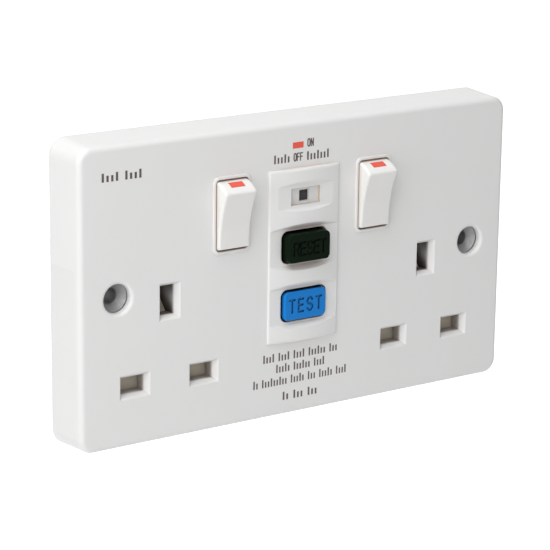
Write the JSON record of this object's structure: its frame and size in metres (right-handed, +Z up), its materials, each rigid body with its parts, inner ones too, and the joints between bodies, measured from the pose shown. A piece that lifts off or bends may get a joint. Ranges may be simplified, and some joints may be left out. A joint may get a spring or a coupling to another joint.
{
  "type": "two gang switched wall socket with residual current protection",
  "caption": "White switched wall socket for three square pins, with rocker switches, test and reset buttons, a trip window and its contacts and trip parts inside.",
  "frame": {"origin": "midway between the two fixing screws, in the plane of the wall face", "axes": "+X to the right along the plate, +Y into the wall, +Z up"},
  "size_m": [0.146, 0.0391, 0.086],
  "materials": {
    "plate_white": "satin moulded urea, white",
    "rocker_white": "semi gloss moulded plastic, warm white",
    "housing_white": "matt moulded plastic, white",
    "shutter_plastic": "matt moulded plastic, beige grey",
    "flag_red": "printed red",
    "flag_black": "printed black",
    "button_green": "gloss moulded plastic, very dark green",
    "button_blue": "gloss moulded plastic, blue",
    "window_clear": "clear moulded plastic",
    "mask_grey": "matt moulded plastic, pale grey",
    "frame_black": "matt moulded plastic, black",
    "board_green": "glass fibre board with green lacquer",
    "component_dark": "gloss moulded body",
    "component_tan": "tan lacquer",
    "ferrite": "dark wound core",
    "copper_wire": "lacquered copper wire",
    "brass": "plain brass",
    "spring_steel": "spring steel wire",
    "zinc_steel": "zinc plated steel",
    "ink": "dark printed ink"
  },
  "bodies": {
    "housing": {"capacitor": "component_dark", "circuit_board": "board_green", "coil_bobbin": "frame_black", "coil_winding": "copper_wire", "coil_yoke": "zinc_steel", "earth_strap": "brass", "earth_terminals": "brass", "face_print": "ink", "fixing_eyelets": "zinc_steel", "front_plate": "plate_white", "housing_screws": "zinc_steel", "indicator_lens": "window_clear", "indicator_mask": "mask_grey", "left_earth_contact": "brass", "left_live_contact": "brass", "left_neutral_contact": "brass", "left_shutter_spring": "spring_steel", "live_busbar": "brass", "live_fixed_contact": "brass", "live_terminal": "brass", "module_frame": "frame_black", "neutral_busbar": "brass", "neutral_fixed_contact": "brass", "neutral_terminal": "brass", "rear_housing": "housing_white", "red_patch": "flag_red", "reset_spring": "spring_steel", "resistor": "component_tan", "right_earth_contact": "brass", "right_live_contact": "brass", "right_neutral_contact": "brass", "right_shutter_spring": "spring_steel", "terminal_screws": "zinc_steel", "test_leaf": "brass", "test_spring": "spring_steel", "thyristor": "component_dark", "toroid_core": "ferrite", "toroid_winding": "copper_wire"},
    "left_rocker_body": {"left_rocker": "rocker_white", "left_rocker_flag": "flag_red", "left_rocker_plunger": "frame_black", "left_rocker_spring": "spring_steel"},
    "left_lever_body": {"left_switch_lever": "brass"},
    "left_shutter_body": {"left_shutter": "shutter_plastic"},
    "right_rocker_body": {"right_rocker": "rocker_white", "right_rocker_flag": "flag_red", "right_rocker_plunger": "frame_black", "right_rocker_spring": "spring_steel"},
    "right_lever_body": {"right_switch_lever": "brass"},
    "right_shutter_body": {"right_shutter": "shutter_plastic"},
    "reset_body": {"reset_button": "button_green"},
    "test_body": {"test_button": "button_blue"},
    "carrier_body": {"contact_carrier": "frame_black", "live_moving_contact": "brass", "neutral_moving_contact": "brass"},
    "indicator_body": {"indicator_slider": "flag_black", "indicator_tile": "flag_red"},
    "plunger_body": {"trip_plunger": "zinc_steel"},
    "latch_body": {"trip_latch": "zinc_steel"}
  },
  "joints": [
    {"name": "left_rocker_tilt", "type": "hinge", "parent": "housing", "child": "left_rocker_body", "pos_m": [-0.02405, -0.0122, 0.01885], "axis": [1, 0, 0], "range_deg": [-25, 0]},
    {"name": "left_lever_tilt", "type": "hinge", "parent": "housing", "child": "left_lever_body", "pos_m": [-0.02405, -0.0017, 0.01885], "axis": [1, 0, 0], "range_deg": [0, 10]},
    {"name": "left_shutter_slide", "type": "slide", "parent": "housing", "child": "left_shutter_body", "axis": [0, 0, -1], "range_m": [0, 0.006], "stiffness_N_per_m": 60, "springref_m": -0.004, "deforming": ["left_shutter_spring"]},
    {"name": "right_rocker_tilt", "type": "hinge", "parent": "housing", "child": "right_rocker_body", "pos_m": [0.02405, -0.0122, 0.01885], "axis": [1, 0, 0], "range_deg": [-25, 0]},
    {"name": "right_lever_tilt", "type": "hinge", "parent": "housing", "child": "right_lever_body", "pos_m": [0.02405, -0.0017, 0.01885], "axis": [1, 0, 0], "range_deg": [0, 10]},
    {"name": "right_shutter_slide", "type": "slide", "parent": "housing", "child": "right_shutter_body", "axis": [0, 0, -1], "range_m": [0, 0.006], "stiffness_N_per_m": 60, "springref_m": -0.004, "deforming": ["right_shutter_spring"]},
    {"name": "reset_press", "type": "slide", "parent": "housing", "child": "reset_body", "axis": [0, 1, 0], "range_m": [0, 0.0024], "stiffness_N_per_m": 400, "springref_m": -0.002, "deforming": ["reset_spring"]},
    {"name": "test_press", "type": "slide", "parent": "housing", "child": "test_body", "axis": [0, 1, 0], "range_m": [0, 0.0012], "stiffness_N_per_m": 400, "springref_m": -0.002, "deforming": ["test_spring"]},
    {"name": "contact_lift", "type": "slide", "parent": "housing", "child": "carrier_body", "axis": [0, -1, 0], "range_m": [0, 0.002], "stiffness_N_per_m": 100, "springref_m": -0.003},
    {"name": "indicator_slide", "type": "slide", "parent": "housing", "child": "indicator_body", "axis": [0, 0, 1], "range_m": [0, 0.004]},
    {"name": "trip_stroke", "type": "slide", "parent": "housing", "child": "plunger_body", "axis": [0, 0, 1], "range_m": [0, 0.0015], "stiffness_N_per_m": 100, "springref_m": -0.003},
    {"name": "latch_slide", "type": "slide", "parent": "carrier_body", "child": "latch_body", "axis": [0, 0, 1], "range_m": [0, 0.0015]}
  ],
  "couplings": [
    {"joint": "left_lever_tilt", "follows": "left_rocker_tilt", "ratio": -0.4},
    {"joint": "right_lever_tilt", "follows": "right_rocker_tilt", "ratio": -0.4},
    {"joint": "indicator_slide", "follows": "contact_lift", "ratio": 2},
    {"joint": "latch_slide", "follows": "trip_stroke", "ratio": 1}
  ]
}
